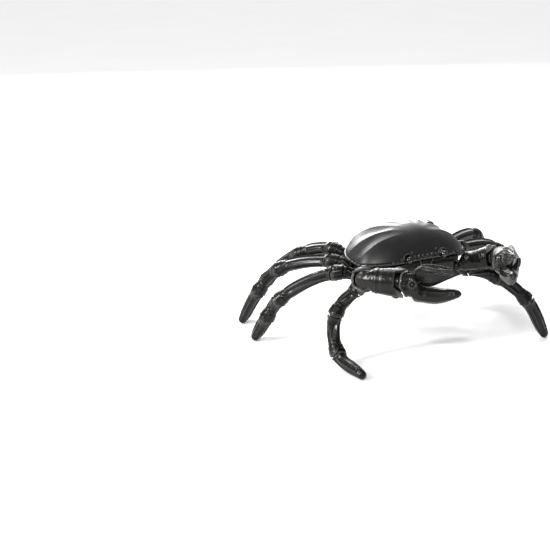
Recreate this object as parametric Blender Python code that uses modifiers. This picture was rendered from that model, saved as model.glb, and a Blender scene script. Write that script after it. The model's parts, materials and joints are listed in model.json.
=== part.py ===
"""Articulated cast-metal crab ornament.

A hollow shell sits on a tray-shaped body.  Eight legs of four pieces and two
claws of four pieces hang from upright pins in the body, and each piece turns
on the one before it by a ball knuckle in a scalloped cup, with a cross pin.
Units are metres.  The crab looks along -Y, its right side is -X, and its
toes stand on z = 0.
"""
import math

import bmesh
import bpy
from mathutils import Matrix, Vector

# ---- driving dimensions --------------------------------------------------
GAP = 0.0003            # running gap between two fixed neighbours
SIDES = 8               # faces around a leg piece
PIN_SIDES = 8           # faces around a pin or a pin hole

# Joint between two limb pieces, for a limb of scale 1.
KNUCKLE_RADIUS = 0.0043     # ball at the near end of a piece
CUP_RADIUS = 0.0050         # hollow of the cup that holds the ball
CUFF_RADIUS = 0.0062        # outside of that cup at its rim
WAIST_RADIUS = 0.0037       # just beyond the ball
SHANK_RADIUS = 0.0053       # thick part of a leg piece
SLIM_RADIUS = 0.0049        # before the cuff flares
THICK_START = 0.95          # where a shank reaches full thickness, in cuff radii
EAR_REACH = 0.0030          # how far the cuff's ears pass the pin's axis
RIM_BACK = 0.0005           # how far the rest of the rim stays behind it
CROSS_PIN_RADIUS = 0.0010
CROSS_HOLE_RADIUS = 0.00135
CROSS_PIN_REACH = 0.0066    # half length of the cross pin

# Leg pieces: hip, thigh, shin and toe of each pair, front pair first.
LEG_PIECES = ("hip", "thigh", "shin", "toe")
LEG_SCALE = 1.18            # size of every leg joint but the root
LEG_LENGTHS = {
    1: (0.015, 0.030, 0.034, 0.036),
    2: (0.025, 0.059, 0.021, 0.021),
    3: (0.026, 0.055, 0.032, 0.035),
    4: (0.027, 0.037, 0.046, 0.042),
}
# Root pins on the +X side; the -X side mirrors them.
LEG_ROOTS = {
    1: (0.0450, -0.0080, 0.067),
    2: (0.0445, 0.0055, 0.068),
    3: (0.0410, 0.0185, 0.070),
    4: (0.0340, 0.0305, 0.071),
}
# Rest pose: (heading, pitch) in degrees of each piece.  A pitch of None is a
# toe that stands on the floor, so its pitch is worked out.
LEG_POSES = {
    ("right", 1): ((178, -22), (178, -43), (244, -58), (272, None)),
    ("right", 2): ((146, 4), (138, -30), (138, -58), (138, None)),
    ("right", 3): ((125, 9), (124, -16), (124, -49), (124, None)),
    ("right", 4): ((119, 21), (120, -16), (121, -42), (121, None)),
    ("left", 1): ((-18, -14), (-43, -14), (-40, -37), (-36, None)),
    ("left", 2): ((10, 18), (9, -14), (6, -65), (5, -70)),
    ("left", 3): ((20, 13), (20, -4), (20, -48), (20, -58)),
    ("left", 4): ((44, 21), (44, -3), (70, -48), (75, None)),
}
TOE_STATIONS = ((0.22, 0.0058), (0.60, 0.0054))     # (share of its length, radius)
TOE_RADIUS = 0.0042         # blunt tip of a toe

# Claws: root pin, then elbow, wrist and the way the palm points.
CLAW_ROOT = (0.0400, -0.0210, 0.0705)
CLAW_SCALE_ROOT = 1.10      # size of the knuckle in the body
ELBOW_SCALE = 1.75
WRIST_SCALE = 2.00
ARM_STATIONS = ((0.30, 0.0070, 0.0072), (0.55, 0.0090, 0.0092))
FOREARM_STATIONS = ((0.36, 0.0108, 0.0090), (0.53, 0.0112, 0.0098))
CLAW_ARM_LENGTH = 0.033
CLAW_FOREARM_LENGTH = 0.030
CLAW_POSES = {
    "right": {"arm": (201, 15), "forearm": (308, 1), "palm": (313, -2), "open": 0},
    "left": {"arm": (-22, 12), "forearm": (-104, 8), "palm": (-124, 7), "open": 0},
}
FINGER_PIVOT = (0.014, 0.0030)   # forward and up from the wrist
FINGER_PIN_RADIUS = 0.0012
FINGER_HOLE_RADIUS = 0.0016
FINGER_HEAD_RADIUS = 0.0044
FINGER_HEAD_PLACE = 0.0096       # how far from the palm's middle a head sits
TONGUE_HALF_WIDTH = 0.0024
SLOT_HALF_WIDTH = 0.0029

# Palm with its fixed lower finger, then the upper finger, as stations of
# (forward, centre height, half height, half width) from the wrist.
PALM_STATIONS = (
    (0.0105, -0.0002, 0.0112, 0.0084),
    (0.0145, -0.0014, 0.0128, 0.0090),
    (0.0180, -0.0042, 0.0104, 0.0088),
    (0.0220, -0.0074, 0.0070, 0.0080),
    (0.0280, -0.0074, 0.0074, 0.0070),
    (0.0350, -0.0071, 0.0071, 0.0058),
    (0.0430, -0.0055, 0.0059, 0.0046),
    (0.0500, -0.0038, 0.0042, 0.0034),
)
PALM_TIP = (0.0545, -0.0034)
FINGER_HEEL = (0.0092, 0.0040)
FINGER_STATIONS = (
    (0.0104, 0.0044, 0.0036, TONGUE_HALF_WIDTH),
    (0.0140, 0.0072, 0.0068, TONGUE_HALF_WIDTH),
    (0.0185, 0.0092, 0.0084, TONGUE_HALF_WIDTH),
    (0.0230, 0.0096, 0.0090, 0.0042),
    (0.0290, 0.0101, 0.0087, 0.0050),
    (0.0360, 0.0117, 0.0066, 0.0047),
    (0.0440, 0.0137, 0.0038, 0.0034),
    (0.0495, 0.0142, 0.0019, 0.0020),
)
FINGER_TIP = (0.0525, 0.0144)

# Shell: its edge on the +X side from the front middle to the rear middle.
BODY_CENTRE = Vector((0.0, 0.005, 0.0))
SHELL_EDGE = (
    (0.000, -0.0280, 0.0850),
    (0.020, -0.0275, 0.0845),
    (0.040, -0.0225, 0.0830),
    (0.0550, -0.0110, 0.0815),
    (0.0565, 0.0040, 0.0815),
    (0.0535, 0.0200, 0.0825),
    (0.0430, 0.0350, 0.0840),
    (0.0240, 0.0450, 0.0850),
    (0.000, 0.0480, 0.0850),
)
SHELL_TOP = 0.1110
SHELL_WALL = 0.0024
SHELL_FULL_FRONT = (1.80, 0.78)     # the two powers of the shell's section
SHELL_FULL_REAR = (2.55, 0.60)
SHELL_RINGS = (1.0, 0.975, 0.90, 0.76, 0.56, 0.32)
EDGE_STEPS = 2              # points from one edge point to the next

# Body tray: its widest outline, seen from above, with its top edge's height.
TRAY_EDGE = (
    (0.000, -0.0250, 0.0822),
    (0.018, -0.0248, 0.0818),
    (0.034, -0.0240, 0.0808),
    (0.0455, -0.0165, 0.0800),
    (0.0480, -0.0010, 0.0795),
    (0.0465, 0.0130, 0.0800),
    (0.0405, 0.0260, 0.0810),
    (0.0250, 0.0375, 0.0830),
    (0.000, 0.0405, 0.0835),
)
TRAY_BOTTOM = 0.058
TRAY_SECTIONS = ((0.058, 0.76), (0.0605, 0.90), (0.0645, 1.0))
TRAY_HOLLOW = 0.70          # width of the hollow as a share of the outline
TRAY_FLOOR = 0.0625
POCKET_SLACK = 0.0009       # around a root knuckle
MOUTH_SLACK = 0.0014        # more height where a pocket opens outwards

ROOT_PIN_REACH = 0.0078
ROOT_HOLE_REACH = 0.0084

EYE_X = 0.019
EYE_PEG = (0.0, -0.0208)
EYE_BALL = (0.0, -0.0285, 0.0872)
EYE_RADIUS = 0.0030
ORBIT_RADIUS = 0.0046

SCREW_Y = 0.005
SCREW_HEAD_RADIUS = 0.0032
SCREW_SHAFT_RADIUS = 0.0014
SCREW_TOP = 0.086
BOSS_RADIUS = 0.0042
BOSS_BOTTOM = 0.0645
BOSS_TOP = 0.1088

MOUTH_PLATE_SIZE = (0.0072, 0.0016, 0.0150)
MOUTH_PLATE_CENTRE = (0.0042, -0.0266, 0.0735)

BLACK_BRONZE = (0.020, 0.019, 0.018)
LACQUER_ROUGHNESS = 0.18

UP = Vector((0.0, 0.0, 1.0))
# Middle of the whole crab's box seen from above; it becomes the origin.
FOOTPRINT_CENTRE = Vector((0.0173, 0.0144, 0.0))


# ---- scene and materials -------------------------------------------------
def clear_scene():
    for item in list(bpy.data.objects):
        bpy.data.objects.remove(item, do_unlink=True)


def new_collection(name):
    collection = bpy.data.collections.new(name)
    bpy.context.scene.collection.children.link(collection)
    return collection


def give_material(item, colour=BLACK_BRONZE, roughness=LACQUER_ROUGHNESS, metallic=0.85):
    material = bpy.data.materials.new(item.name + "_finish")
    material.use_nodes = True
    shader = material.node_tree.nodes["Principled BSDF"]
    shader.inputs["Base Color"].default_value = (*colour, 1.0)
    shader.inputs["Roughness"].default_value = roughness
    shader.inputs["Metallic"].default_value = metallic
    item.data.materials.clear()
    item.data.materials.append(material)


# ---- geometry helpers ----------------------------------------------------
def aim(heading, pitch):
    """Unit vector with a compass heading from +X and a pitch above level."""
    heading, pitch = math.radians(heading), math.radians(pitch)
    level = math.cos(pitch)
    return Vector((level * math.cos(heading), level * math.sin(heading), math.sin(pitch)))


def square_to(vector, direction):
    """The part of vector at right angles to direction, at unit length."""
    return (vector - direction * vector.dot(direction)).normalized()


def ring(centre, direction, across, half_across, half_other, ear=0.0):
    """Points around a limb; an ear reaches forward at both ends of across."""
    across = square_to(across, direction)
    other = direction.cross(across)
    points = []
    for step in range(SIDES):
        angle = 2 * math.pi * step / SIDES
        reach = ear * max(0.0, abs(math.cos(angle)) - 0.5) / 0.5
        points.append(centre + across * half_across * math.cos(angle)
                      + other * half_other * math.sin(angle) + direction * reach)
    return points


def mesh_object(name, mesh_data, collection):
    """Turn a bmesh into a linked object with outward faces."""
    bmesh.ops.recalc_face_normals(mesh_data, faces=mesh_data.faces)
    bmesh.ops.translate(mesh_data, vec=-FOOTPRINT_CENTRE, verts=mesh_data.verts)
    mesh = bpy.data.meshes.new(name)
    mesh_data.to_mesh(mesh)
    mesh_data.free()
    item = bpy.data.objects.new(name, mesh)
    collection.objects.link(item)
    return item


def put_origin(item, point):
    """Move an object's origin onto its joint without moving its shape."""
    place = point - FOOTPRINT_CENTRE
    item.data.transform(Matrix.Translation(-place))
    item.location = place


def loft(name, start, rings, end, collection):
    """Closed solid through rings of equal count, with a point at each end."""
    shape = bmesh.new()
    first = shape.verts.new(start)
    loops = [[shape.verts.new(point) for point in points] for points in rings]
    last = shape.verts.new(end)
    count = len(rings[0])
    for i in range(count):
        j = (i + 1) % count
        shape.faces.new((first, loops[0][j], loops[0][i]))
        for near, far in zip(loops, loops[1:]):
            shape.faces.new((near[i], near[j], far[j], far[i]))
        shape.faces.new((loops[-1][i], loops[-1][j], last))
    bmesh.ops.triangulate(shape, faces=shape.faces)
    return mesh_object(name, shape, collection)


def rod(name, centre, direction, radius, half_length, collection, sides=PIN_SIDES):
    """Round bar with flat ends, centred on a point."""
    shape = bmesh.new()
    bmesh.ops.create_cone(shape, cap_ends=True, segments=sides, radius1=radius,
                          radius2=radius, depth=2 * half_length)
    turn = direction.to_track_quat("Z", "Y").to_matrix().to_4x4()
    bmesh.ops.transform(shape, matrix=Matrix.Translation(centre) @ turn, verts=shape.verts)
    return mesh_object(name, shape, collection)


def block(name, centre, axes, size, collection):
    """Box with its own three axes."""
    shape = bmesh.new()
    bmesh.ops.create_cube(shape, size=1.0)
    turn = Matrix((axes[0], axes[1], axes[2])).transposed()
    stretch = Matrix.Diagonal(Vector(size))
    bmesh.ops.transform(shape, matrix=Matrix.Translation(centre) @ (turn @ stretch).to_4x4(),
                        verts=shape.verts)
    return mesh_object(name, shape, collection)


def as_cutter(item):
    item.hide_render = True
    item.display_type = "WIRE"
    return item


def combine(item, other, operation):
    """Boolean of item with another mesh object, which stays as a cutter."""
    as_cutter(other)
    modifier = item.modifiers.new(operation.lower() + "_" + other.name, "BOOLEAN")
    modifier.operation = operation
    modifier.solver = "EXACT"
    modifier.object = other


def closed_edge(half, steps):
    """Smooth closed loop through half an outline and its mirror image."""
    points = [Vector(point) for point in half]
    mirrored = [Vector((-p.x, p.y, p.z)) for p in reversed(points[1:-1])]
    points += mirrored
    count = len(points)
    loop = []
    for i in range(count):
        before, start, end, after = (points[(i + k) % count] for k in (-1, 0, 1, 2))
        for step in range(steps):
            t = step / steps
            loop.append(0.5 * (2 * start + (end - before) * t
                               + (2 * before - 5 * start + 4 * end - after) * t ** 2
                               + (3 * start - before - 3 * end + after) * t ** 3))
    return loop


def scaled_ring(loop, share, height=None):
    """The loop drawn in towards the body's centre, at one height if given."""
    points = []
    for point in loop:
        flat = BODY_CENTRE + (point - BODY_CENTRE) * share
        points.append(Vector((flat.x, flat.y, point.z if height is None else height)))
    return points


# ---- skeleton ------------------------------------------------------------
def side_sign(side):
    return -1.0 if side == "right" else 1.0


def leg_root(side, number):
    x, y, z = LEG_ROOTS[number]
    return Vector((side_sign(side) * x, y, z))


def leg_skeleton(side, number):
    """Joint points from the root pin to the toe's tip."""
    points = [leg_root(side, number)]
    for length, (heading, pitch) in zip(LEG_LENGTHS[number], LEG_POSES[side, number]):
        if pitch is None:
            drop = points[-1].z - TOE_RADIUS
            pitch = -math.degrees(math.asin(drop / length))
        points.append(points[-1] + length * aim(heading, pitch))
    return points


def bend_axis(before, after):
    """Hinge axis between two pieces; a positive turn bends them further."""
    cross = before.cross(after)
    if cross.length < 0.05:
        cross = before.cross(-UP)
    return cross.normalized()


def joint_frames(points, root_axis):
    """For each joint of a limb: its point, its axis and its facing."""
    ways = [(b - a).normalized() for a, b in zip(points, points[1:])]
    frames = [(points[0], root_axis, ways[0])]
    for point, before, after in zip(points[1:], ways, ways[1:]):
        frames.append((point, bend_axis(before, after), (before + after).normalized()))
    return frames


def claw_skeleton(side):
    """Root, elbow, wrist, and the palm's forward and up directions."""
    x, y, z = CLAW_ROOT
    pose = CLAW_POSES[side]
    root = Vector((side_sign(side) * x, y, z))
    elbow = root + CLAW_ARM_LENGTH * aim(*pose["arm"])
    wrist = elbow + CLAW_FOREARM_LENGTH * aim(*pose["forearm"])
    forward = aim(*pose["palm"])
    return root, elbow, wrist, forward, square_to(UP, forward)


# ---- limb pieces ---------------------------------------------------------
def knuckle_rings(frame, scale):
    """Ball at the near end of a piece, up to its waist."""
    point, axis, facing = frame
    radius = KNUCKLE_RADIUS * scale
    start = point - facing * radius
    rings = [ring(point - facing * radius * 0.64, facing, axis, radius * 0.77, radius * 0.77),
             ring(point, facing, axis, radius, radius)]
    waist = WAIST_RADIUS * scale
    rings.append(ring(point + facing * 0.62 * radius, facing, axis, waist, waist))
    return start, rings


def cuff_rings(frame, scale):
    """Flared cup at the far end of a piece, from outside to the hollow."""
    point, axis, facing = frame
    outer, inner = CUFF_RADIUS * scale, CUP_RADIUS * scale
    back, ear = RIM_BACK * scale, (EAR_REACH + RIM_BACK) * scale
    flare = outer * 0.93
    rings = [ring(point - facing * inner * 1.05, facing, axis, flare, flare),
             ring(point - facing * back, facing, axis, outer, outer, ear),
             ring(point - facing * back, facing, axis, inner, inner, ear),
             ring(point - facing * inner * 0.64, facing, axis, inner * 0.77, inner * 0.77)]
    return rings, point - facing * inner


def hermite(a, b, way_a, way_b, t):
    """Point and direction on a smooth path between two joints."""
    pull = (b - a).length
    h = (2 * t ** 3 - 3 * t ** 2 + 1, t ** 3 - 2 * t ** 2 + t,
         -2 * t ** 3 + 3 * t ** 2, t ** 3 - t ** 2)
    d = (6 * t ** 2 - 6 * t, 3 * t ** 2 - 4 * t + 1, -6 * t ** 2 + 6 * t, 3 * t ** 2 - 2 * t)
    point = a * h[0] + way_a * pull * h[1] + b * h[2] + way_b * pull * h[3]
    way = a * d[0] + way_a * pull * d[1] + b * d[2] + way_b * pull * d[3]
    return point, way.normalized()


def shank_rings(near, far, stations):
    """Rings between two joints; each station is (share, half width, half height)."""
    a, axis_a, way_a = near
    b, axis_b, way_b = far
    if axis_a.dot(axis_b) < 0:
        axis_b = -axis_b
    rings = []
    for share, half_across, half_other in stations:
        point, way = hermite(a, b, way_a, way_b, share)
        across = axis_a.lerp(axis_b, share)
        rings.append(ring(point, way, across, half_across, half_other))
    return rings


def shank_stations(length, near_scale, far_scale):
    """Thickness along a leg piece that ends in a cuff."""
    thick, slim = SHANK_RADIUS * near_scale, SLIM_RADIUS * far_scale
    near = THICK_START * CUFF_RADIUS * near_scale / length
    far = 1.0 - 2.0 * CUFF_RADIUS * far_scale / length
    if far < near + 0.12:
        return ((0.5 * (near + far), thick, thick),)
    return ((near, thick, thick), (far, slim, slim))


def toe_piece(name, near, tip, collection):
    """Last piece of a leg: a knuckle, then a taper to a blunt tip."""
    point, axis, facing = near
    way = (tip - point).normalized()
    start, rings = knuckle_rings(near, LEG_SCALE)
    for share, radius in (*TOE_STATIONS, (1.0, TOE_RADIUS)):
        middle, along = hermite(point, tip, facing, way, share)
        rings.append(ring(middle, along, axis, radius, radius))
    dome = 0.7 * TOE_RADIUS
    rings.append(ring(tip + way * dome, way, axis, dome, dome))
    return loft(name, start, rings, tip + way * TOE_RADIUS, collection)


def add_cross_pin(item, frame, scale, cutters):
    """Pin through the knuckle, made in one with it."""
    point, axis, _ = frame
    pin = rod(item.name + "_cross_pin", point, axis, CROSS_PIN_RADIUS * scale,
              CROSS_PIN_REACH * scale, cutters)
    combine(item, pin, "UNION")


def cut_pin_hole(item, frame, scale, radius, cutters):
    point, axis, _ = frame
    reach = 1.4 * CUFF_RADIUS * scale
    hole = rod(item.name + "_pin_hole", point, axis, radius * scale, reach, cutters)
    combine(item, hole, "DIFFERENCE")


def limb_piece(name, near, far, near_scale, far_scale, parts, stations=None):
    """Knuckle, shank and cuff as one solid."""
    length = (far[0] - near[0]).length
    start, rings = knuckle_rings(near, near_scale)
    rings += shank_rings(near, far, stations or shank_stations(length, near_scale, far_scale))
    cuff, end = cuff_rings(far, far_scale)
    item = loft(name, start, rings + cuff, end, parts)
    put_origin(item, near[0])
    return item


def build_leg(side, number, parts, cutters):
    frames = joint_frames(leg_skeleton(side, number), UP)
    tip = leg_skeleton(side, number)[-1]
    for index, piece in enumerate(LEG_PIECES):
        name = f"{side}_leg_{number}_{piece}"
        near = frames[index]
        near_scale = 1.0 if piece == "hip" else LEG_SCALE
        if piece == "toe":
            item = toe_piece(name, near, tip, parts)
            put_origin(item, near[0])
        else:
            item = limb_piece(name, near, frames[index + 1], near_scale, LEG_SCALE, parts)
            cut_pin_hole(item, frames[index + 1], LEG_SCALE, CROSS_HOLE_RADIUS, cutters)
        if piece == "hip":
            cut_root_hole(item, near, cutters)
        else:
            add_cross_pin(item, near, LEG_SCALE, cutters)
        give_material(item)


def cut_root_hole(item, frame, cutters):
    hole = rod(item.name + "_root_hole", frame[0], UP, CROSS_HOLE_RADIUS, 0.012, cutters)
    combine(item, hole, "DIFFERENCE")


# ---- claws ---------------------------------------------------------------
def palm_point(wrist, forward, up, station):
    return wrist + forward * station[0] + up * station[1]


def palm_rings(wrist, forward, up, stations):
    side = forward.cross(up)
    return [ring(palm_point(wrist, forward, up, s), forward, side, s[3], s[2]) for s in stations]


def open_finger(point, pivot, side, angle):
    return pivot + Matrix.Rotation(math.radians(angle), 3, side) @ (point - pivot)


def build_claw(side, parts, cutters):
    root, elbow, wrist, forward, up = claw_skeleton(side)
    across = forward.cross(up)
    root_frame, elbow_frame, wrist_frame = joint_frames([root, elbow, wrist, wrist + forward], UP)[:3]

    arm = limb_piece(f"{side}_claw_arm", root_frame, elbow_frame, CLAW_SCALE_ROOT, ELBOW_SCALE, parts,
                     ARM_STATIONS)
    cut_pin_hole(arm, elbow_frame, ELBOW_SCALE, CROSS_HOLE_RADIUS, cutters)
    cut_root_hole(arm, root_frame, cutters)

    forearm = limb_piece(f"{side}_claw_forearm", elbow_frame, wrist_frame, ELBOW_SCALE, WRIST_SCALE,
                         parts, FOREARM_STATIONS)
    add_cross_pin(forearm, elbow_frame, ELBOW_SCALE, cutters)
    cut_pin_hole(forearm, wrist_frame, WRIST_SCALE, CROSS_HOLE_RADIUS, cutters)

    start, rings = knuckle_rings(wrist_frame, WRIST_SCALE)
    rings = [turned_to(r, wrist_frame[0], wrist_frame[2], across) for r in rings]
    rings += palm_rings(wrist, forward, up, PALM_STATIONS)
    palm = loft(f"{side}_claw_palm", start, rings, palm_point(wrist, forward, up, PALM_TIP), parts)
    put_origin(palm, wrist)
    add_cross_pin(palm, wrist_frame, WRIST_SCALE, cutters)

    pivot = palm_point(wrist, forward, up, FINGER_PIVOT)
    slot = block(palm.name + "_slot", pivot + forward * 0.0105 + up * 0.0085, (forward, across, up),
                 (0.0330, 2 * SLOT_HALF_WIDTH, 0.0240), cutters)
    combine(palm, slot, "DIFFERENCE")
    pin_hole = rod(palm.name + "_finger_hole", pivot, across, FINGER_HOLE_RADIUS, 0.012, cutters)
    combine(palm, pin_hole, "DIFFERENCE")

    angle = CLAW_POSES[side]["open"]
    turn = Matrix.Rotation(math.radians(angle), 3, across)
    heel = open_finger(palm_point(wrist, forward, up, FINGER_HEEL), pivot, across, angle)
    tip = open_finger(palm_point(wrist, forward, up, FINGER_TIP), pivot, across, angle)
    closed_rings = palm_rings(wrist, forward, up, FINGER_STATIONS)
    rings = [[pivot + turn @ (p - pivot) for p in r] for r in closed_rings]
    finger = loft(f"{side}_claw_finger", heel, rings, tip, parts)
    put_origin(finger, pivot)
    finger_hole = rod(finger.name + "_hole", pivot, across, FINGER_HOLE_RADIUS, 0.012, cutters)
    combine(finger, finger_hole, "DIFFERENCE")

    pin = finger_pin(f"{side}_claw_finger_pin", pivot, across, parts)
    for item in (arm, forearm, palm, finger, pin):
        give_material(item)


def turned_to(points, centre, direction, across):
    """Reorder a ring so that its first point lies along across, for a clean loft."""
    best = max(range(SIDES), key=lambda k: (points[k] - centre).dot(across))
    return points[best:] + points[:best]


def finger_pin(name, pivot, across, parts):
    """Rivet with a low dome at each end."""
    reach, head = FINGER_HEAD_PLACE, FINGER_HEAD_PLACE + 0.0014
    stations = ((-head, 0.0020), (-reach, FINGER_HEAD_RADIUS), (-reach, FINGER_PIN_RADIUS),
                (reach, FINGER_PIN_RADIUS), (reach, FINGER_HEAD_RADIUS), (head, 0.0020))
    rings = [ring(pivot + across * offset, across, UP, radius, radius) for offset, radius in stations]
    return loft(name, pivot - across * (head + 0.0003), rings, pivot + across * (head + 0.0003), parts)


# ---- body ----------------------------------------------------------------
def shell_height(edge_point, share):
    """Steep at the edge, nearly flat on top, and fuller behind than in front."""
    out = edge_point - BODY_CENTRE
    rearward = 0.5 + 0.5 * out.y / math.hypot(out.x, out.y)
    power = SHELL_FULL_FRONT[0] + (SHELL_FULL_REAR[0] - SHELL_FULL_FRONT[0]) * rearward
    root = SHELL_FULL_FRONT[1] + (SHELL_FULL_REAR[1] - SHELL_FULL_FRONT[1]) * rearward
    return edge_point.z + (SHELL_TOP - edge_point.z) * (1.0 - share ** power) ** root


def build_shell(parts, cutters):
    edge = closed_edge(SHELL_EDGE, EDGE_STEPS)
    outer = []
    for share in SHELL_RINGS:
        outer.append([Vector((p.x, p.y, shell_height(q, share)))
                      for p, q in zip(scaled_ring(edge, share), edge)])
    inner = []
    for share in SHELL_RINGS:
        shrink = share - SHELL_WALL / 0.045 * share
        inner.append([Vector((p.x, p.y, max(q.z, shell_height(q, share) - 1.15 * SHELL_WALL)
                              if share < 1.0 else q.z))
                      for p, q in zip(scaled_ring(edge, shrink), edge)])
    top = Vector((0.0, BODY_CENTRE.y, SHELL_TOP))
    rings = list(reversed(outer)) + inner
    shell = loft("shell", top, rings, top - UP * 1.15 * SHELL_WALL, parts)

    boss = rod("shell_boss", Vector((0.0, SCREW_Y, (BOSS_BOTTOM + BOSS_TOP) / 2)), UP, BOSS_RADIUS,
               (BOSS_TOP - BOSS_BOTTOM) / 2, cutters, 12)
    combine(shell, boss, "UNION")
    thread = rod("shell_screw_hole", Vector((0.0, SCREW_Y, 0.076)), UP, SCREW_SHAFT_RADIUS + GAP,
                 0.012, cutters)
    combine(shell, thread, "DIFFERENCE")
    for side in ("right", "left"):
        centre = Vector((side_sign(side) * EYE_X, EYE_BALL[1], EYE_BALL[2] - 0.0004))
        orbit = rod(f"{side}_orbit", centre, Vector((0.0, 1.0, 0.0)), ORBIT_RADIUS, 0.0085, cutters, 12)
        combine(shell, orbit, "DIFFERENCE")
    give_material(shell)


def build_tray(parts, cutters):
    edge = closed_edge(TRAY_EDGE, EDGE_STEPS)
    rings = [scaled_ring(edge, share, height) for height, share in TRAY_SECTIONS]
    rings += [edge, scaled_ring(edge, TRAY_HOLLOW), scaled_ring(edge, TRAY_HOLLOW - 0.04, TRAY_FLOOR)]
    bottom = Vector((0.0, BODY_CENTRE.y, TRAY_BOTTOM))
    floor = Vector((0.0, BODY_CENTRE.y, TRAY_FLOOR))
    tray = loft("body_tray", bottom, rings, floor, parts)

    for side in ("right", "left"):
        for number in LEG_LENGTHS:
            heading, _ = LEG_POSES[side, number][0]
            cut_pocket(tray, f"{side}_leg_{number}", leg_root(side, number), heading, 1.0, cutters)
        root = claw_skeleton(side)[0]
        heading, _ = CLAW_POSES[side]["arm"]
        cut_pocket(tray, f"{side}_claw", root, heading, CLAW_SCALE_ROOT, cutters)
        peg = Vector((side_sign(side) * EYE_X, EYE_PEG[1], 0.080))
        combine(tray, rod(f"{side}_eye_socket", peg, UP, 0.0017, 0.0055, cutters), "DIFFERENCE")
        plate = Vector((side_sign(side) * MOUTH_PLATE_CENTRE[0], -0.0250, MOUTH_PLATE_CENTRE[2]))
        combine(tray, rod(f"{side}_mouth_plate_hole", plate, Vector((0.0, 1.0, 0.0)), 0.0014, 0.0042,
                          cutters), "DIFFERENCE")
    screw_hole = rod("tray_screw_hole", Vector((0.0, SCREW_Y, 0.060)), UP, SCREW_SHAFT_RADIUS + GAP,
                     0.010, cutters)
    combine(tray, screw_hole, "DIFFERENCE")
    recess = rod("tray_screw_recess", Vector((0.0, SCREW_Y, TRAY_BOTTOM)), UP, SCREW_HEAD_RADIUS + GAP,
                 0.0024, cutters, 12)
    combine(tray, recess, "DIFFERENCE")
    give_material(tray)


def cut_pocket(tray, limb, root, heading, scale, cutters):
    """Round pocket, open outwards, with a hole for its upright pin."""
    radius = KNUCKLE_RADIUS * scale + POCKET_SLACK
    out = aim(heading, 0)
    pocket = rod(limb + "_pocket", root, UP, radius, radius, cutters, 12)
    combine(tray, pocket, "DIFFERENCE")
    mouth = block(limb + "_mouth", root + out * 0.010, (out, UP.cross(out), UP),
                  (0.020, 2 * radius + MOUTH_SLACK, 2 * (radius + MOUTH_SLACK)), cutters)
    combine(tray, mouth, "DIFFERENCE")
    hole = rod(limb + "_root_pin_hole", root, UP, CROSS_HOLE_RADIUS, ROOT_HOLE_REACH, cutters)
    combine(tray, hole, "DIFFERENCE")


def build_root_pins(parts):
    for side in ("right", "left"):
        roots = {f"{side}_leg_{number}": leg_root(side, number) for number in LEG_LENGTHS}
        roots[f"{side}_claw"] = claw_skeleton(side)[0]
        for limb, root in roots.items():
            give_material(rod(limb + "_root_pin", root, UP, CROSS_PIN_RADIUS, ROOT_PIN_REACH, parts))


def build_eye(side, parts):
    """Peg, stalk and ball; the peg turns in the tray."""
    x = side_sign(side) * EYE_X
    peg = Vector((x, EYE_PEG[1], 0.0))
    ball = Vector((x, EYE_BALL[1], EYE_BALL[2]))
    stalk_start = peg + UP * 0.0832
    way = (ball - stalk_start).normalized()
    across = Vector((1.0, 0.0, 0.0))
    rings = [ring(peg + UP * 0.0758, UP, across, 0.0013, 0.0013),
             ring(stalk_start - UP * 0.0006, UP, across, 0.0013, 0.0013),
             ring(stalk_start + way * 0.0016, way, across, 0.0015, 0.0015),
             ring(ball - way * EYE_RADIUS * 0.80, way, across, EYE_RADIUS * 0.60, EYE_RADIUS * 0.60),
             ring(ball - way * EYE_RADIUS * 0.30, way, across, EYE_RADIUS * 0.95, EYE_RADIUS * 0.95),
             ring(ball + way * EYE_RADIUS * 0.30, way, across, EYE_RADIUS * 0.95, EYE_RADIUS * 0.95),
             ring(ball + way * EYE_RADIUS * 0.80, way, across, EYE_RADIUS * 0.60, EYE_RADIUS * 0.60)]
    eye = loft(f"{side}_eye", peg + UP * 0.0756, rings, ball + way * EYE_RADIUS, parts)
    put_origin(eye, peg + UP * 0.080)
    give_material(eye, roughness=0.08)


def build_mouth_plate(side, parts, cutters):
    x, y, z = MOUTH_PLATE_CENTRE
    centre = Vector((side_sign(side) * x, y, z))
    axes = (Vector((1.0, 0.0, 0.0)), Vector((0.0, 1.0, 0.0)), UP)
    plate = block(f"{side}_mouth_plate", centre, axes, MOUTH_PLATE_SIZE, parts)
    rounding = plate.modifiers.new("rounding", "BEVEL")
    rounding.width = 0.0005
    rounding.segments = 1
    peg = rod(plate.name + "_peg", centre + Vector((0.0, 0.0016, 0.0)), axes[1], 0.0010, 0.0020, cutters)
    combine(plate, peg, "UNION")
    give_material(plate)


def build_screw(parts):
    """Round-head screw that holds the shell to the tray."""
    bottom = TRAY_BOTTOM
    stations = ((bottom, 0.0026), (bottom + 0.0006, SCREW_HEAD_RADIUS),
                (bottom + 0.0020, SCREW_HEAD_RADIUS), (bottom + 0.0020, SCREW_SHAFT_RADIUS),
                (SCREW_TOP, SCREW_SHAFT_RADIUS))
    rings = [ring(Vector((0.0, SCREW_Y, height)), UP, Vector((1.0, 0.0, 0.0)), radius, radius)
             for height, radius in stations]
    screw = loft("body_screw", Vector((0.0, SCREW_Y, bottom)), rings,
                 Vector((0.0, SCREW_Y, SCREW_TOP)), parts)
    give_material(screw, colour=(0.45, 0.42, 0.36), roughness=0.35, metallic=1.0)


def main():
    clear_scene()
    parts = new_collection("articulated_crab")
    cutters = new_collection("cutters")
    build_shell(parts, cutters)
    build_tray(parts, cutters)
    build_screw(parts)
    build_root_pins(parts)
    for side in ("right", "left"):
        build_eye(side, parts)
        build_mouth_plate(side, parts, cutters)
        for number in LEG_LENGTHS:
            build_leg(side, number, parts, cutters)
        build_claw(side, parts, cutters)


main()
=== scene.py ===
import json
import math

import bmesh
import bpy
import numpy as np
from mathutils import Matrix, Vector


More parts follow.
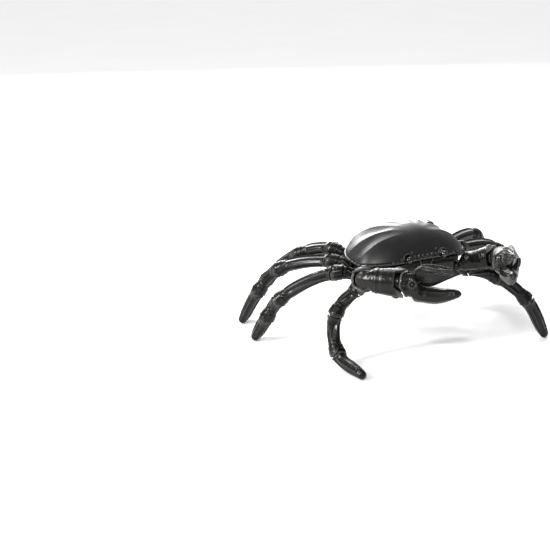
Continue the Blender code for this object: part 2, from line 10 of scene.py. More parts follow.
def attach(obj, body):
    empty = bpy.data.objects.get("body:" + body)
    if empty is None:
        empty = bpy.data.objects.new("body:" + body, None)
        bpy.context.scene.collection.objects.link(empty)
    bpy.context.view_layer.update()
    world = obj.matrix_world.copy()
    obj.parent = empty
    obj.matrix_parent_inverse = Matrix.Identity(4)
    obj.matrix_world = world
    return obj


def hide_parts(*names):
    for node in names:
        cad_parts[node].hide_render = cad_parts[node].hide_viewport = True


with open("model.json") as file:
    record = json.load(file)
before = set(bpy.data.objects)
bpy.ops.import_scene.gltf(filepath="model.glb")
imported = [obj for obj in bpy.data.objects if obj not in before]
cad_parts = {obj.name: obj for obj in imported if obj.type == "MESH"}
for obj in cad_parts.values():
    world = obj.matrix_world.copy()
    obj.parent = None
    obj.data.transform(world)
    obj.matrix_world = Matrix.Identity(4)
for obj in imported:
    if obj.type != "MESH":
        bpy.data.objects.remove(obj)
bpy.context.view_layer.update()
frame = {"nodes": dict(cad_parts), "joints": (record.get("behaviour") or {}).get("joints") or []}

SIDEWAYS = Vector((1.0, 0.0, 0.0))
BACKWARDS = Vector((0.0, 1.0, 0.0))
UP = Vector((0.0, 0.0, 1.0))
SLANT = Vector((0.31, 0.52, 0.79))      # any direction that no axis here is parallel to
MM = 0.001

# The CAD is drawn about the crab's own middle and then shifted by this much.
FOOTPRINT_CENTRE = Vector((0.0173, 0.0144, 0.0))
BODY_CENTRE = Vector((0.0, 0.005, 0.0))

JOINTS = {joint["name"]: (Vector(joint["pos_m"]), Vector(joint["axis"]).normalized())
          for joint in frame["joints"]}


# ---- small maths ---------------------------------------------------------
def placed(x, y, z):
    """A point given in the crab's own frame."""
    return Vector((x, y, z)) - FOOTPRINT_CENTRE


def cos_sin(degrees):
    return math.cos(math.radians(degrees)), math.sin(math.radians(degrees))


def smooth(low, high, value):
    """0 below low, 1 above high, smooth between."""
    t = np.clip((np.asarray(value, float) - low) / (high - low), 0.0, 1.0)
    return t * t * (3 - 2 * t)


def eased(stations, position, column):
    """Value of a column of stations at a position, level at every station."""
    if position <= stations[0][0]:
        return stations[0][column]
    for a, b in zip(stations, stations[1:]):
        if position <= b[0]:
            t = (position - a[0]) / (b[0] - a[0])
            return a[column] + (b[column] - a[column]) * t * t * (3 - 2 * t)
    return stations[-1][column]


def curved(stations, position, column):
    """Value of a column of stations at a position, on a smooth curve."""
    places = [s[0] for s in stations]
    values = [s[column] for s in stations]
    last = len(stations) - 1
    if position <= places[0]:
        return values[0]
    if position >= places[last]:
        return values[last]
    slopes = []
    for i in range(last + 1):
        a, b = max(0, i - 1), min(last, i + 1)
        slopes.append((values[b] - values[a]) / (places[b] - places[a]))
    i = max(k for k in range(last) if places[k] <= position)
    width = places[i + 1] - places[i]
    t = (position - places[i]) / width
    return (values[i] * (2 * t ** 3 - 3 * t ** 2 + 1) + slopes[i] * width * (t ** 3 - 2 * t ** 2 + t)
            + values[i + 1] * (-2 * t ** 3 + 3 * t ** 2) + slopes[i + 1] * width * (t ** 3 - t ** 2))


def square_to(vector, direction):
    """Unit vector square to a direction, in the plane of both."""
    return (vector - direction * vector.dot(direction)).normalized()


def hermite(a, b, way_a, way_b, t):
    """Point and direction at share t of a curve between two points with given directions."""
    pull = (b - a).length
    h = (2 * t ** 3 - 3 * t ** 2 + 1, t ** 3 - 2 * t ** 2 + t,
         -2 * t ** 3 + 3 * t ** 2, t ** 3 - t ** 2)
    d = (6 * t ** 2 - 6 * t, 3 * t ** 2 - 4 * t + 1, -6 * t ** 2 + 6 * t, 3 * t ** 2 - 2 * t)
    point = a * h[0] + way_a * pull * h[1] + b * h[2] + way_b * pull * h[3]
    way = a * d[0] + way_a * pull * d[1] + b * d[2] + way_b * pull * d[3]
    return point, way.normalized()


# ---- mesh building -------------------------------------------------------
def linked(name, data):
    """New object in the scene."""
    item = bpy.data.objects.new(name, data)
    bpy.context.scene.collection.objects.link(item)
    return item


def shade_smooth(mesh, sharp=None):
    """Smooth shading, with creases above an angle if one is given."""
    mesh.polygons.foreach_set("use_smooth", [True] * len(mesh.polygons))
    if sharp is not None:
        mesh.set_sharp_from_angle(angle=math.radians(sharp))


class Shape:
    """Collects points and faces of one piece."""

    def __init__(self):
        self.points = []
        self.faces = []

    def add_rings(self, rings, start, end):
        """Skin through rings of equal count, closed by a point at each end."""
        base = len(self.points)
        count = len(rings[0])
        for points in rings:
            self.points.extend(tuple(p) for p in points)
        for r in range(len(rings) - 1):
            a, b = base + r * count, base + (r + 1) * count
            for i in range(count):
                j = (i + 1) % count
                self.faces.append((a + i, a + j, b + j, b + i))
        for point, ring_base, flip in ((start, base, True), (end, base + (len(rings) - 1) * count, False)):
            self.points.append(tuple(point))
            tip = len(self.points) - 1
            for i in range(count):
                j = (i + 1) % count
                face = (ring_base + i, ring_base + j, tip)
                self.faces.append(face[::-1] if flip else face)

    def mesh(self, name):
        """Mesh with its normals pointing outwards."""
        mesh = bpy.data.meshes.new(name)
        mesh.from_pydata(self.points, [], self.faces)
        tidy = bmesh.new()
        tidy.from_mesh(mesh)
        bmesh.ops.recalc_face_normals(tidy, faces=tidy.faces)
        tidy.to_mesh(mesh)
        tidy.free()
        return mesh

    def make(self, name, sharp=50):
        """Smooth-shaded object, with creases above an angle."""
        mesh = self.mesh(name)
        shade_smooth(mesh, sharp)
        mesh.update()
        return linked(name, mesh)


def oval(centre, direction, across, half_across, half_other, sides, relief=None, forward=None, power=2.0):
    """Points of an oval cross-section.

    relief(angle) is added to the radius and forward(angle) to the position
    along the limb; a power above 2 makes the oval squarer.
    """
    across = square_to(across, direction)
    other = direction.cross(across)
    angles = np.arange(sides) * (2 * math.pi / sides)
    c, s = np.cos(angles), np.sin(angles)
    swell = (np.abs(c) ** power + np.abs(s) ** power) ** (-1.0 / power)
    grow = np.zeros(sides) if relief is None else relief(angles)
    ahead = np.zeros(sides) if forward is None else forward(angles)
    points = (np.array(centre)
              + np.outer(c * (half_across * swell + grow), np.array(across))
              + np.outer(s * (half_other * swell + grow), np.array(other))
              + np.outer(ahead, np.array(direction)))
    return points


def add_dome(shape, centre, out, radius, height, sides=20, steps=5):
    """Low round head standing on a surface."""
    out = out.normalized()
    across = square_to(SLANT, out)
    rings = [oval(centre - out * 0.4 * radius, out, across, radius, radius, sides)]
    for step in range(steps):
        angle = 0.5 * math.pi * step / steps
        rings.append(oval(centre + out * height * math.sin(angle), out, across,
                          radius * math.cos(angle), radius * math.cos(angle), sides))
    shape.add_rings(rings, centre - out * 0.4 * radius, centre + out * height)


def add_rosette(shape, centre, out, radius, height, petals, sides=80):
    """Round head with petals round a small boss."""
    across = square_to(SLANT, out)
    rings = [oval(centre - out * 0.4 * radius, out, across, radius, radius, sides)]
    for share, rise, cut in ((1.0, 0.0, 0.0), (1.0, 0.50, 0.05), (0.92, 0.85, 0.12), (0.80, 1.0, 0.20),
                             (0.66, 0.90, 0.28), (0.54, 0.60, 0.30), (0.44, 0.45, 0.10), (0.36, 0.80, 0.0),
                             (0.25, 1.05, 0.0), (0.12, 1.15, 0.0)):
        notch = [-height * cut * (1 - abs(math.sin(0.5 * petals * 2 * math.pi * k / sides)) ** 0.5)
                 for k in range(sides)]
        rings.append(oval(centre + out * height * rise, out, across, radius * share, radius * share, sides,
                          forward=lambda angles, notch=notch: np.array(notch) * 3.0))
    shape.add_rings(rings, centre - out * 0.4 * radius, centre + out * height * 1.18)


def turned(shape, base, axis, profile, sides=24):
    """Lathe work: profile is (height along the axis, radius) from end to end."""
    across = square_to(SLANT, axis)
    rings = [oval(base + axis * h, axis, across, r, r, sides) for h, r in profile]
    shape.add_rings(rings, base + axis * profile[0][0], base + axis * profile[-1][0])


# ---- materials -----------------------------------------------------------
def node_tree(name):
    material = bpy.data.materials.new(name)
    material.use_nodes = True
    return material, material.node_tree, material.node_tree.nodes["Principled BSDF"]


def connect(tree, node, inputs):
    """Give a node's inputs a link or a value."""
    for key, value in inputs.items():
        if isinstance(value, bpy.types.NodeSocket):
            tree.links.new(value, node.inputs[key])
        else:
            node.inputs[key].default_value = value


def add_node(tree, kind, inputs=None, **settings):
    node = tree.nodes.new(kind)
    for key, value in settings.items():
        setattr(node, key, value)
    connect(tree, node, inputs or {})
    return node


def noise(tree, place, scale, detail=3.0, roughness=0.5):
    return add_node(tree, "ShaderNodeTexNoise",
                    {"Vector": place, "Scale": scale, "Detail": detail, "Roughness": roughness})


def spread(tree, value, low, high, to_low, to_high):
    return add_node(tree, "ShaderNodeMapRange",
                    {"Value": value, "From Min": low, "From Max": high,
                     "To Min": to_low, "To Max": to_high}).outputs["Result"]


def ramp(tree, value, stops):
    node = add_node(tree, "ShaderNodeValToRGB", {"Fac": value})
    element = node.color_ramp.elements
    while len(element) < len(stops):
        element.new(0.5)
    for item, (place, colour) in zip(element, stops):
        item.position = place
        item.color = (*colour, 1.0)
    return node.outputs["Color"]


def lacquer(name, deep, crest_highlight_colour, rough=(0.26, 0.40), lump=0.45, grain=0.18, coat=0.15, coat_rough=0.10,
            ior=1.27):
    """Black lacquer over cast metal: lumpy, of slightly uneven gloss, with a painted grey highlight on its
    crests.
    """
    material, tree, shader = node_tree(name)
    place = add_node(tree, "ShaderNodeTexCoord").outputs["Object"]
    clouds = noise(tree, place, 95.0, 4.0).outputs["Fac"]
    lumps = noise(tree, place, 330.0, 2.0, 0.45).outputs["Fac"]
    pits = noise(tree, place, 1500.0, 3.0, 0.6).outputs["Fac"]
    crests = add_node(tree, "ShaderNodeNewGeometry").outputs["Pointiness"]
    # Painted highlight: convex crests are mixed, in patches, towards a light grey.
    crest_highlight = spread(tree, crests, 0.53, 0.62, 0.0, 1.6)
    patchy_crest_highlight = add_node(tree, "ShaderNodeMath", {0: crest_highlight, 1: clouds}, operation="MULTIPLY").outputs[0]
    tone = ramp(tree, clouds, ((0.30, tuple(0.6 * c for c in deep)), (0.70, deep)))
    colour = add_node(tree, "ShaderNodeMix", {0: patchy_crest_highlight, 6: tone, 7: (*crest_highlight_colour, 1.0)}, data_type="RGBA")
    coarse = add_node(tree, "ShaderNodeBump", {"Strength": lump, "Distance": 0.0006, "Height": lumps})
    fine = add_node(tree, "ShaderNodeBump", {"Strength": grain, "Distance": 0.0001, "Height": pits,
                                             "Normal": coarse.outputs["Normal"]})
    connect(tree, shader, {"Base Color": colour.outputs[2], "Metallic": 0.0, "IOR": ior,
                           "Roughness": spread(tree, clouds, 0.3, 0.7, *rough), "Coat Weight": coat,
                           "Coat Roughness": coat_rough, "Normal": fine.outputs["Normal"]})
    return material


def metal(name, dark, bright):
    """Patinated metal with brighter rubbed spots."""
    material, tree, shader = node_tree(name)
    place = add_node(tree, "ShaderNodeTexCoord").outputs["Object"]
    clouds = noise(tree, place, 420.0, 5.0).outputs["Fac"]
    bump = add_node(tree, "ShaderNodeBump", {"Strength": 0.15, "Distance": 0.0001, "Height": clouds})
    connect(tree, shader, {"Base Color": ramp(tree, clouds, ((0.35, dark), (0.68, bright))), "Metallic": 1.0,
                           "Roughness": spread(tree, clouds, 0.3, 0.7, 0.28, 0.5),
                           "Normal": bump.outputs["Normal"]})
    return material


# The second colour of each lacquer is the painted highlight on its crests.
LIMB = lacquer("limb_lacquer", (0.0060, 0.0057, 0.0052), (0.16, 0.155, 0.145))
SHELL = lacquer("shell_lacquer", (0.0050, 0.0050, 0.0048), (0.12, 0.117, 0.11), rough=(0.40, 0.48),
                lump=0.14, grain=0.06, coat=0.20, coat_rough=0.34, ior=1.45)
CLAW = lacquer("claw_lacquer", (0.0065, 0.0062, 0.0056), (0.26, 0.25, 0.235), lump=0.70, grain=0.30)
EYE = lacquer("eye_lacquer", (0.006, 0.006, 0.006), (0.02, 0.02, 0.02), rough=(0.04, 0.08), lump=0.05,
              grain=0.0, coat=1.0, coat_rough=0.05)
PIN = metal("pin_metal", (0.05, 0.042, 0.03), (0.22, 0.18, 0.12))
SCREW = metal("screw_metal", (0.26, 0.23, 0.17), (0.52, 0.47, 0.36))


def finish(item, body, material, slot, *nodes):
    """Material, body and replaced nodes of one piece; the slot argument is not used."""
    item.data.materials.clear()
    item.data.materials.append(material)
    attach(item, body)
    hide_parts(*nodes)


def finish_cast(shape, node, material):
    """A casting that is a body of its own, given as a shape or as an object."""
    item = shape.make(node + "_cast") if isinstance(shape, Shape) else shape
    finish(item, node, material, "black_lacquer", node)


# ---- legs ----------------------------------------------------------------
LIMB_SIDES = 64
FLUTES = 8
LEG_SCALE = 1.18
TOE_RADIUS = 4.2 * MM
KNUCKLE = 4.3 * MM
CUP = 5.0 * MM
CUFF = 6.2 * MM
EAR = 3.5 * MM
RIM_BACK = 0.5 * MM
NECK_REACH = 0.62       # height of a ball's neck as a share of its radius

# All of these are for a joint of scale 1, in mm.
# Collar where a piece leaves the cup before it: (distance, radius, share of
# the scallop that runs round the cup's ears).
COLLAR = (
    (2.70, 3.50, 0.0), (2.72, 3.95, 0.3), (2.30, 4.60, 0.8), (1.90, 5.05, 1.0), (1.75, 5.35, 1.0),
    (1.90, 5.60, 1.0), (2.35, 5.72, 1.0), (2.85, 5.62, 1.0), (3.20, 5.30, 1.0))
SCALLOP = 1.9 * MM
SCALLOP_FADE = 5.5
# Shank after a collar, after a root ball, and before a cup: (distance from
# that joint, radius, depth of the flutes as a share of the radius).
AFTER_COLLAR = ((3.30, 5.22, 0.0), (5.20, 5.10, 0.13), (8.0, 4.95, 0.15))
AFTER_ROOT = (
    (2.67, 3.50, 0.0), (3.40, 3.75, 0.0), (5.20, 5.05, 0.0), (6.30, 5.35, 0.05), (8.0, 5.30, 0.13))
BEFORE_CUP = (
    (14.0, 5.10, 0.15), (10.2, 4.95, 0.13), (8.8, 4.80, 0.0), (7.9, 5.05, 0.0), (7.0, 4.98, 0.0),
    (5.25, 5.70, 0.0), (2.0, 5.98, 0.0), (0.9, 6.25, 0.0))
# (share of the toe's length, radius, depth of the flutes)
TOE_TAPER = (
    (0.60, 5.60, 0.15), (0.84, 5.00, 0.14), (0.90, 4.60, 0.09), (0.93, 4.60, 0.07),
    (1.0, TOE_RADIUS / MM, 0.05))
# How far the upper and lower flutes' crests rise, in mm for flutes of depth 1.
LIMB_CREST = 1.5
TOE_CREST = 2.2
NO_HUMP = (0.0, 1.0, 0.0)
CUFF_KNOB_BACK = 2.6
CUFF_KNOB_OUT = 5.85
RIVET_HEAD = (6.05, 1.6, 0.85)      # distance from the pin's middle, radius, height


def ball_rings(point, axis, facing, radius, sides):
    """The ball at the near end of a piece, from its pole to its neck."""
    steps = 9
    rings = []
    for step in range(1, steps + 1):
        height = -math.cos(math.pi * step / (2 * steps) * (1 + 2 * math.asin(NECK_REACH) / math.pi))
        width = radius * math.sqrt(1 - height * height)
        rings.append(oval(point + facing * radius * height, facing, axis, width, width, sides))
    return rings


def ear_curve(reach, offset=0.0):
    """How far points round a limb move forward to follow a cup's two ears."""
    def forward(angles):
        return reach * smooth(0.45, 1.0, np.abs(np.cos(angles - offset)))
    return forward


def collar_rings(point, across, facing, scale, sides, offset=0.0):
    """Rolled collar that follows the ears of the cup before it."""
    rings = []
    for place, radius, share in COLLAR:
        radius *= scale * MM
        rings.append(oval(point + facing * place * scale * MM, facing, across, radius, radius, sides,
                          forward=ear_curve(SCALLOP * scale * share, offset)))
    return rings


def cuff_end(rings, point, axis, facing, scale, sides):
    """Add the rolled rim of a cup and its hollow to rings; the result is the hollow's deepest point."""
    forward = ear_curve(EAR * scale)
    inner, outer, back = CUP * scale, CUFF * scale, RIM_BACK * scale
    for radius, place in ((outer + 0.10 * MM, -back - 0.25 * MM), (outer - 0.15 * MM, -back),
                          (inner + 0.25 * MM, -back), (inner, -back - 0.3 * MM)):
        rings.append(oval(point + facing * place, facing, axis, radius, radius, sides, forward=forward))
    for angle in (20, 40, 60, 75, 85):
        c, s = cos_sin(angle)
        radius = inner * c
        place = -back - (inner - back) * s
        fade = 1.0 - smooth(0, 40, angle)
        rings.append(oval(point + facing * place, facing, axis, radius, radius, sides,
                          forward=ear_curve(EAR * scale * float(fade))))
    return point - facing * inner


def edge_bumps(angles, spread_angle):
    """Two rounded bumps of height 1, on opposite sides of a ring."""
    return [np.exp(-((angles - middle * math.pi / 2) / spread_angle) ** 2) for middle in (1, 3)]


def flute_relief(radius, depth, crest):
    """Sharp crests with round hollows between; crest raises two of them."""
    def relief(angles):
        hollow = np.sqrt(np.sin(FLUTES / 2 * angles) ** 2 + 0.003)
        return -radius * depth * hollow + crest * sum(edge_bumps(angles, 0.14))
    return relief


def shank_profile(length, near_scale, far_scale, collared):
    """Stations (distance, half width, half width, flutes) between two joints, in mm."""
    near = [(s * near_scale, r * near_scale, r * near_scale, f)
            for s, r, f in (AFTER_COLLAR if collared else AFTER_ROOT)]
    far = [(length - s * far_scale, r * far_scale, r * far_scale, f) for s, r, f in BEFORE_CUP]
    near = near[:1] + [s for s in near[1:] if s[0] < length - 8.3 * far_scale]
    far = [s for s in far if s[0] > near[-1][0] + 0.8]
    return near + far


def along(start, end, step):
    """Evenly spaced places from start to end, at most a step apart."""
    count = max(2, int(math.ceil((end - start) / step)))
    return [start + (end - start) * k / count for k in range(count + 1)]


def shank_rings(near, far, stations, scale, sides, collar_scale, crest, hump=NO_HUMP):
    """Ball, collar if it has one, and fluted shank between two joints (point, axis, direction).

    A hump (place, spread, height) in mm lifts the upper side.
    """
    a, axis_a, way_a = near
    b, axis_b, way_b = far
    length = (b - a).length / MM
    rings = ball_rings(a, axis_a, way_a, KNUCKLE * scale, sides)
    if collar_scale:
        rings += collar_rings(a, axis_a, way_a, collar_scale, sides)
    begin = stations[0][0]
    for s in along(begin + 0.3, stations[-1][0], 0.5):
        t = s / length
        point, way = hermite(a, b, way_a, way_b, t)
        half_across, half_other = eased(stations, s, 1) * MM, eased(stations, s, 2) * MM
        depth = eased(stations, s, 3)
        fade = 1.0 - float(smooth(begin, begin + SCALLOP_FADE * scale, s)) if collar_scale else 0.0
        axis = axis_a.lerp(axis_b, t)
        rise = 0.5 * hump[2] * MM * math.exp(-((s - hump[0]) / hump[1]) ** 2)
        point = point + axis * math.copysign(rise, axis.z)
        rings.append(oval(point, way, axis, half_across + rise, half_other, sides,
                          flute_relief(half_other, depth, crest * MM * depth),
                          ear_curve(SCALLOP * scale * fade)))
    return rings


def limb_piece(near, far, near_scale, far_scale, collar_scale, stations=None, sides=LIMB_SIDES,
               hump=NO_HUMP):
    """Ball, collar, fluted shank and flared cup."""
    if near[1].dot(far[1]) < 0:
        far = (far[0], -far[1], far[2])
    stations = stations or shank_profile((far[0] - near[0]).length / MM, near_scale, far_scale, collar_scale)
    rings = shank_rings(near, far, stations, near_scale, sides, collar_scale, LIMB_CREST, hump)
    end = cuff_end(rings, *far, far_scale, sides)
    shape = Shape()
    shape.add_rings(rings, near[0] - near[2] * KNUCKLE * near_scale, end)
    return shape


def cuff_knobs(shape, far, scale, angles, size=0.8):
    """Small knobs around a cup."""
    point, axis, facing = far
    other = facing.cross(square_to(axis, facing))
    for angle in angles:
        c, s = cos_sin(angle)
        out = axis * c + other * s
        add_dome(shape, point - facing * CUFF_KNOB_BACK * scale * MM + out * CUFF_KNOB_OUT * scale * MM, out,
                 size * scale * MM, 0.7 * size * scale * MM, 16, 5)


def rivets(shape, near, scale):
    """Both heads of a cross pin, outside the ears that hold it."""
    point, axis = near[:2]
    out, radius, height = (size * scale * MM for size in RIVET_HEAD)
    for way in (axis, -axis):
        add_dome(shape, point + way * out, way, radius, height, 24, 6)


def toe_shape(near, tip):
    """Last piece of a leg: a fluted taper to a smooth blunt nail."""
    a, axis, facing = near
    way = (tip - a).normalized()
    length = (tip - a).length / MM
    stations = [(s * LEG_SCALE, r * LEG_SCALE, r * LEG_SCALE, f) for s, r, f in AFTER_COLLAR
                if s * LEG_SCALE < 0.5 * length]
    stations += [(length * share, r, r, f) for share, r, f in TOE_TAPER]
    rings = shank_rings(near, (tip, axis, way), stations, LEG_SCALE, LIMB_SIDES, LEG_SCALE, TOE_CREST)
    for angle in (12, 25, 40, 55, 70, 82):
        c, s = cos_sin(angle)
        rings.append(oval(tip + way * TOE_RADIUS * s, way, axis, TOE_RADIUS * c, TOE_RADIUS * c, LIMB_SIDES,
                          flute_relief(TOE_RADIUS, 0.03 * c, 0.0)))
    shape = Shape()
    shape.add_rings(rings, a - facing * KNUCKLE * LEG_SCALE, tip + way * TOE_RADIUS)
    return shape


def farthest(node, point):
    """The node's corner that lies farthest from a point."""
    corners = frame["nodes"][node].data.vertices
    return max((v.co.copy() for v in corners), key=lambda co: (co - point).length)


def build_leg(side, number):
    """Hip, thigh, shin and toe."""
    limb = f"{side}_leg_{number}"
    joints = [JOINTS[f"{limb}_{joint}"] for joint in ("swing", "lift", "knee", "toe_bend")]
    points = [joint[0] for joint in joints]
    apex = farthest(f"{limb}_toe", points[-1])
    tip = apex - (apex - points[-1]).normalized() * TOE_RADIUS
    ways = [(b - a).normalized() for a, b in zip(points, points[1:] + [tip])]
    facings = [ways[0]] + [(a + b).normalized() for a, b in zip(ways, ways[1:])]
    frames = [(point, axis, facing) for (point, axis), facing in zip(joints, facings)]
    frames[0] = (frames[0][0], UP, frames[0][2])
    for index, piece in enumerate(("hip", "thigh", "shin")):
        scales = (LEG_SCALE, LEG_SCALE, LEG_SCALE) if index else (1.0, LEG_SCALE, None)
        shape = limb_piece(frames[index], frames[index + 1], *scales)
        cuff_knobs(shape, frames[index + 1], LEG_SCALE, (62, 118))
        if index:
            rivets(shape, frames[index], LEG_SCALE)
        finish_cast(shape, f"{limb}_{piece}", LIMB)
    shape = toe_shape(frames[3], tip)
    rivets(shape, frames[3], LEG_SCALE)
    finish_cast(shape, limb + "_toe", LIMB)


# ---- claws ---------------------------------------------------------------
CLAW_SCALE_ROOT = 1.10
ELBOW_SCALE = 1.75
WRIST_SCALE = 2.00
FOREARM_COLLAR_SCALE = 1.52     # smaller than its ball, because the elbow is sharply bent
CLAW_SIDES = 80

# (distance, half width along the hinge axis, half width across it, flutes) in mm
ARM_PROFILE = (
    (2.9, 3.8, 3.8, 0.0), (3.8, 4.6, 4.1, 0.0), (5.6, 5.6, 5.2, 0.0), (7.6, 6.4, 6.1, 0.0),
    (11.0, 7.3, 7.0, 0.03), (17.6, 8.9, 8.5, 0.03), (19.4, 8.7, 8.3, 0.0), (20.6, 9.2, 8.9, 0.0),
    (21.9, 9.0, 8.7, 0.0), (24.2, 9.6, 9.4, 0.0), (29.5, 10.4, 10.3, 0.0), (31.4, 10.8, 10.8, 0.0))
ARM_HUMP = (9.8, 3.8, 3.6)      # place, spread, height in mm
FOREARM_PROFILE = (
    (5.5, 8.0, 8.0, 0.0), (8.2, 9.6, 8.1, 0.03), (10.8, 10.6, 8.6, 0.03), (13.0, 10.6, 9.2, 0.0),
    (14.3, 11.3, 9.9, 0.0), (15.7, 10.9, 9.7, 0.0), (18.6, 11.3, 11.1, 0.0), (24.5, 12.0, 12.0, 0.0),
    (28.2, 12.5, 12.5, 0.0))
# (forward, centre height, half height, half width) in mm from the wrist
PALM_STATIONS = (
    (6.6, 0.0, 10.5, 10.5), (8.2, -0.1, 10.6, 9.6), (10.5, -0.2, 11.2, 8.8), (14.5, -1.4, 12.6, 9.0),
    (18.0, -4.0, 10.5, 8.8), (22.0, -6.9, 7.4, 8.0), (26.0, -7.0, 7.5, 7.4), (30.0, -7.2, 7.3, 6.6),
    (35.0, -7.0, 7.0, 5.8), (43.0, -5.4, 5.8, 4.6), (50.0, -3.7, 4.0, 3.4), (53.0, -3.4, 2.3, 2.2),
    (54.1, -3.4, 1.1, 1.1))
PALM_TIP = (54.5, -3.4)
FINGER_STATIONS = (
    (9.5, 4.0, 1.5, 1.3), (10.4, 4.4, 3.4, 2.3), (14.0, 7.2, 6.8, 2.4), (18.5, 9.2, 8.4, 2.4),
    (23.0, 9.6, 9.0, 4.2), (29.0, 10.1, 8.7, 5.0), (36.0, 11.7, 6.6, 4.7), (44.0, 13.7, 3.8, 3.4),
    (49.5, 14.2, 1.9, 2.0), (51.9, 14.4, 0.9, 1.0))
FINGER_HEEL = (9.2, 4.0)
FINGER_TIP = (52.5, 14.4)
FINGER_PIVOT = (14.0, 3.0)
SLOT_CENTRE = (24.5, 11.5)
SLOT_SIZE = (33.0, 5.8, 24.0)
RIVET_PLACE = 9.2 * MM
RIVET_RADIUS = 3.9 * MM
RIVET_HEIGHT = 1.3 * MM
RIVET_SHANK = 1.2 * MM
RIVET_PETALS = 10
PALM_SIDES = 96
RING_STEP = 0.42        # mm between rings of the palm and the finger
# Knobs on each side of the palm: two near the tip (forward, up, radius) and
# two arcs round the corner of the claw's mouth (reach, count), in mm.
TIP_KNOBS = ((45.0, -3.6, 0.9), (48.5, -3.0, 0.9))
ARC_CENTRE = (26.0, 1.0)
ARC_KNOBS = ((8.5, 6), (19.5, 12))
ARC_KNOB_RADIUS = 0.6


def teeth(s, start):
    """Bite of the edges that meet between the two fingers."""
    return 0.5 * MM * max(0.0, math.sin(2 * math.pi * s / 3.4)) ** 2 * float(smooth(start, start + 4, s))


def palm_relief(s):
    """Long ridges that run to the tip, and teeth along the upper edge."""
    amount = float(smooth(9, 20, s)) * (1.0 - 0.6 * float(smooth(40, 52, s)))
    tooth = teeth(s, 25)

    def relief(angles):
        ridge = np.sqrt(np.sin(5 * angles) ** 2 + 0.006)
        inner, _ = edge_bumps(angles, 0.35)
        return -0.55 * MM * amount * ridge + tooth * inner
    return relief


def finger_relief(s):
    """A rim round the leaf-shaped finger and rows of beads on its cheeks."""
    leaf = float(smooth(18, 23, s)) * (1.0 - float(smooth(44, 50, s)))
    tooth = teeth(s, 25)

    def relief(angles):
        top, foot = edge_bumps(angles, 0.22)
        cheek = 1.0 - np.exp(-(np.cos(angles) / 0.40) ** 4)
        rows = np.sin(angles)
        beads = np.cos(2 * math.pi * (s / 3.2 + rows * 1.7)) * np.cos(2 * math.pi * (s / 3.2 - rows * 1.7))
        veins = np.cos(2 * math.pi * rows * 3.2)
        bead_share = 1.0 - float(smooth(30, 36, s))
        return leaf * (0.85 * MM * (top + foot) - 0.70 * MM * cheek
                       + 0.45 * MM * bead_share * cheek * np.maximum(0.0, beads)
                       + 0.22 * MM * (1.0 - bead_share) * cheek * veins) + tooth * foot
    return relief


def claw_directions(wrist, pivot, axis):
    """The palm's forward, up and across follow from where its finger's pivot lies."""
    lean = math.atan2(FINGER_PIVOT[1], FINGER_PIVOT[0])
    for across in (axis, -axis):
        forward = Matrix.Rotation(-lean, 3, across) @ square_to(pivot - wrist, across)
        up = across.cross(forward)
        if up.z > 0:
            break
    return forward, up, across


def build_claw(side):
    """Arm, forearm, palm, finger and the finger's rivet."""
    limb = f"{side}_claw"
    root, elbow, wrist = (JOINTS[f"{limb}_{joint}"][0] for joint in ("swing", "elbow", "wrist"))
    elbow_axis, wrist_axis = (JOINTS[f"{limb}_{joint}"][1] for joint in ("elbow", "wrist"))
    pivot, finger_axis = JOINTS[f"{limb}_finger_hinge"]
    forward, up, across = claw_directions(wrist, pivot, finger_axis)
    arm_way, forearm_way = (elbow - root).normalized(), (wrist - elbow).normalized()
    root_frame = (root, UP, arm_way)
    elbow_frame = (elbow, elbow_axis, (arm_way + forearm_way).normalized())
    wrist_frame = (wrist, wrist_axis, (forearm_way + forward).normalized())

    arm = limb_piece(root_frame, elbow_frame, CLAW_SCALE_ROOT, ELBOW_SCALE, None, ARM_PROFILE, CLAW_SIDES,
                     hump=ARM_HUMP)
    cuff_knobs(arm, elbow_frame, ELBOW_SCALE, (60, 120), 0.6)
    finish_cast(arm, limb + "_arm", CLAW)

    forearm = limb_piece(elbow_frame, wrist_frame, ELBOW_SCALE, WRIST_SCALE, FOREARM_COLLAR_SCALE,
                         FOREARM_PROFILE, CLAW_SIDES)
    rivets(forearm, elbow_frame, ELBOW_SCALE)
    finish_cast(forearm, limb + "_forearm", CLAW)

    finish_cast(build_palm(limb, wrist_frame, forward, up, across), limb + "_palm", CLAW)
    finish_cast(build_finger(limb, wrist, pivot, forward, up, across), limb + "_finger", CLAW)

    pin = Shape()
    for way in (across, -across):
        add_rosette(pin, pivot + way * RIVET_PLACE, way, RIVET_RADIUS, RIVET_HEIGHT, RIVET_PETALS)
    turned(pin, pivot, across, ((-RIVET_PLACE, RIVET_SHANK), (RIVET_PLACE, RIVET_SHANK)))
    finish(pin.make(limb + "_finger_rivet"), limb + "_palm", LIMB, "pin_metal", limb + "_finger_pin")


